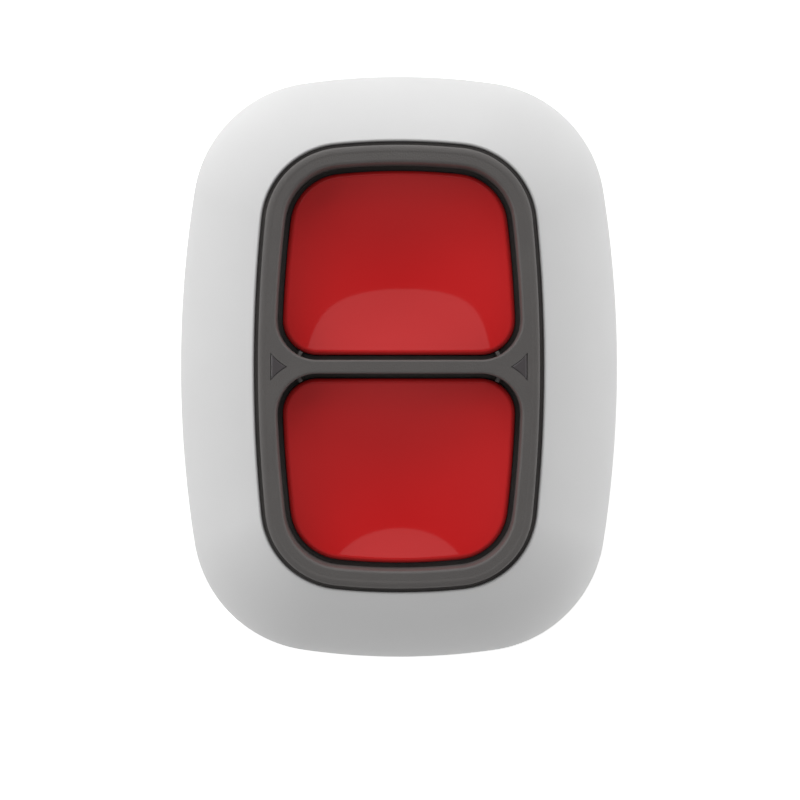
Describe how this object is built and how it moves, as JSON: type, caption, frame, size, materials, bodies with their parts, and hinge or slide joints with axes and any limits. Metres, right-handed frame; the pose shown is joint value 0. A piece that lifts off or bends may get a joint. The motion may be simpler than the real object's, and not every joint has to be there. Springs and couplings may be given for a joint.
{
  "type": "wireless panic button",
  "caption": "Pocket alarm transmitter: a white pillow-shaped casing with two large red dished push caps behind a dark guard frame.",
  "frame": {"origin": "middle of the flat back, on the surface that the casing lies on", "axes": "+Z out of the back and through the push caps, +Y along the casing towards the lanyard eye, +X across it"},
  "size_m": [0.0354, 0.047, 0.016],
  "materials": {
    "casing_white": "fine matte moulded surface, white",
    "guard_grey": "satin moulded surface, dark grey",
    "cap_red": "polished moulded surface, red",
    "window_smoke": "smoked translucent light guide",
    "silicone": "soft matte silicone",
    "seal_rubber": "soft matte rubber",
    "board_green": "glass-fibre board with green solder mask",
    "cell_steel": "bright nickel-plated steel can",
    "spring_steel": "stamped nickel-plated spring steel",
    "screw_steel": "zinc-plated steel",
    "switch_black": "moulded black thermoplastic",
    "plunger_plastic": "moulded natural thermoplastic",
    "lamp_epoxy": "clear epoxy over a pale base",
    "chip_epoxy": "black moulding compound",
    "ceramic_white": "fired ceramic with tinned ends"
  },
  "bodies": {
    "casing": {"front_shell": "casing_white", "rear_cover": "casing_white", "guard_frame": "guard_grey", "indicator_left": "window_smoke", "indicator_right": "window_smoke", "keypad_membrane": "silicone", "seal_ring": "seal_rubber", "circuit_board": "board_green", "coin_cell": "cell_steel", "battery_clip": "spring_steel", "battery_contact": "spring_steel", "shield_can": "spring_steel", "antenna": "spring_steel", "case_screws": "screw_steel", "switch_upper_base": "switch_black", "switch_lower_base": "switch_black", "switch_upper_cover": "spring_steel", "switch_lower_cover": "spring_steel", "switch_upper_dome": "spring_steel", "switch_lower_dome": "spring_steel", "led_left": "lamp_epoxy", "led_right": "lamp_epoxy", "control_chip": "chip_epoxy", "crystal": "ceramic_white", "chip_components": "ceramic_white"},
    "upper_button": {"cap_upper": "cap_red"},
    "lower_button": {"cap_lower": "cap_red"},
    "upper_switch_stem": {"switch_upper_plunger": "plunger_plastic"},
    "lower_switch_stem": {"switch_lower_plunger": "plunger_plastic"}
  },
  "joints": [
    {"name": "press_upper", "type": "slide", "parent": "casing", "child": "upper_button", "axis": [0, 0, -1], "range_m": [0, 0.0008], "stiffness_N_per_m": 2500, "springref_m": -0.0004, "deforming": ["keypad_membrane"]},
    {"name": "press_lower", "type": "slide", "parent": "casing", "child": "lower_button", "axis": [0, 0, -1], "range_m": [0, 0.0008], "stiffness_N_per_m": 2500, "springref_m": -0.0004, "deforming": ["keypad_membrane"]},
    {"name": "click_upper", "type": "slide", "parent": "casing", "child": "upper_switch_stem", "axis": [0, 0, -1], "range_m": [0, 0.0003]},
    {"name": "click_lower", "type": "slide", "parent": "casing", "child": "lower_switch_stem", "axis": [0, 0, -1], "range_m": [0, 0.0003]}
  ],
  "couplings": [
    {"joint": "click_upper", "follows": "press_upper", "ratio": 0.37},
    {"joint": "click_lower", "follows": "press_lower", "ratio": 0.37}
  ]
}
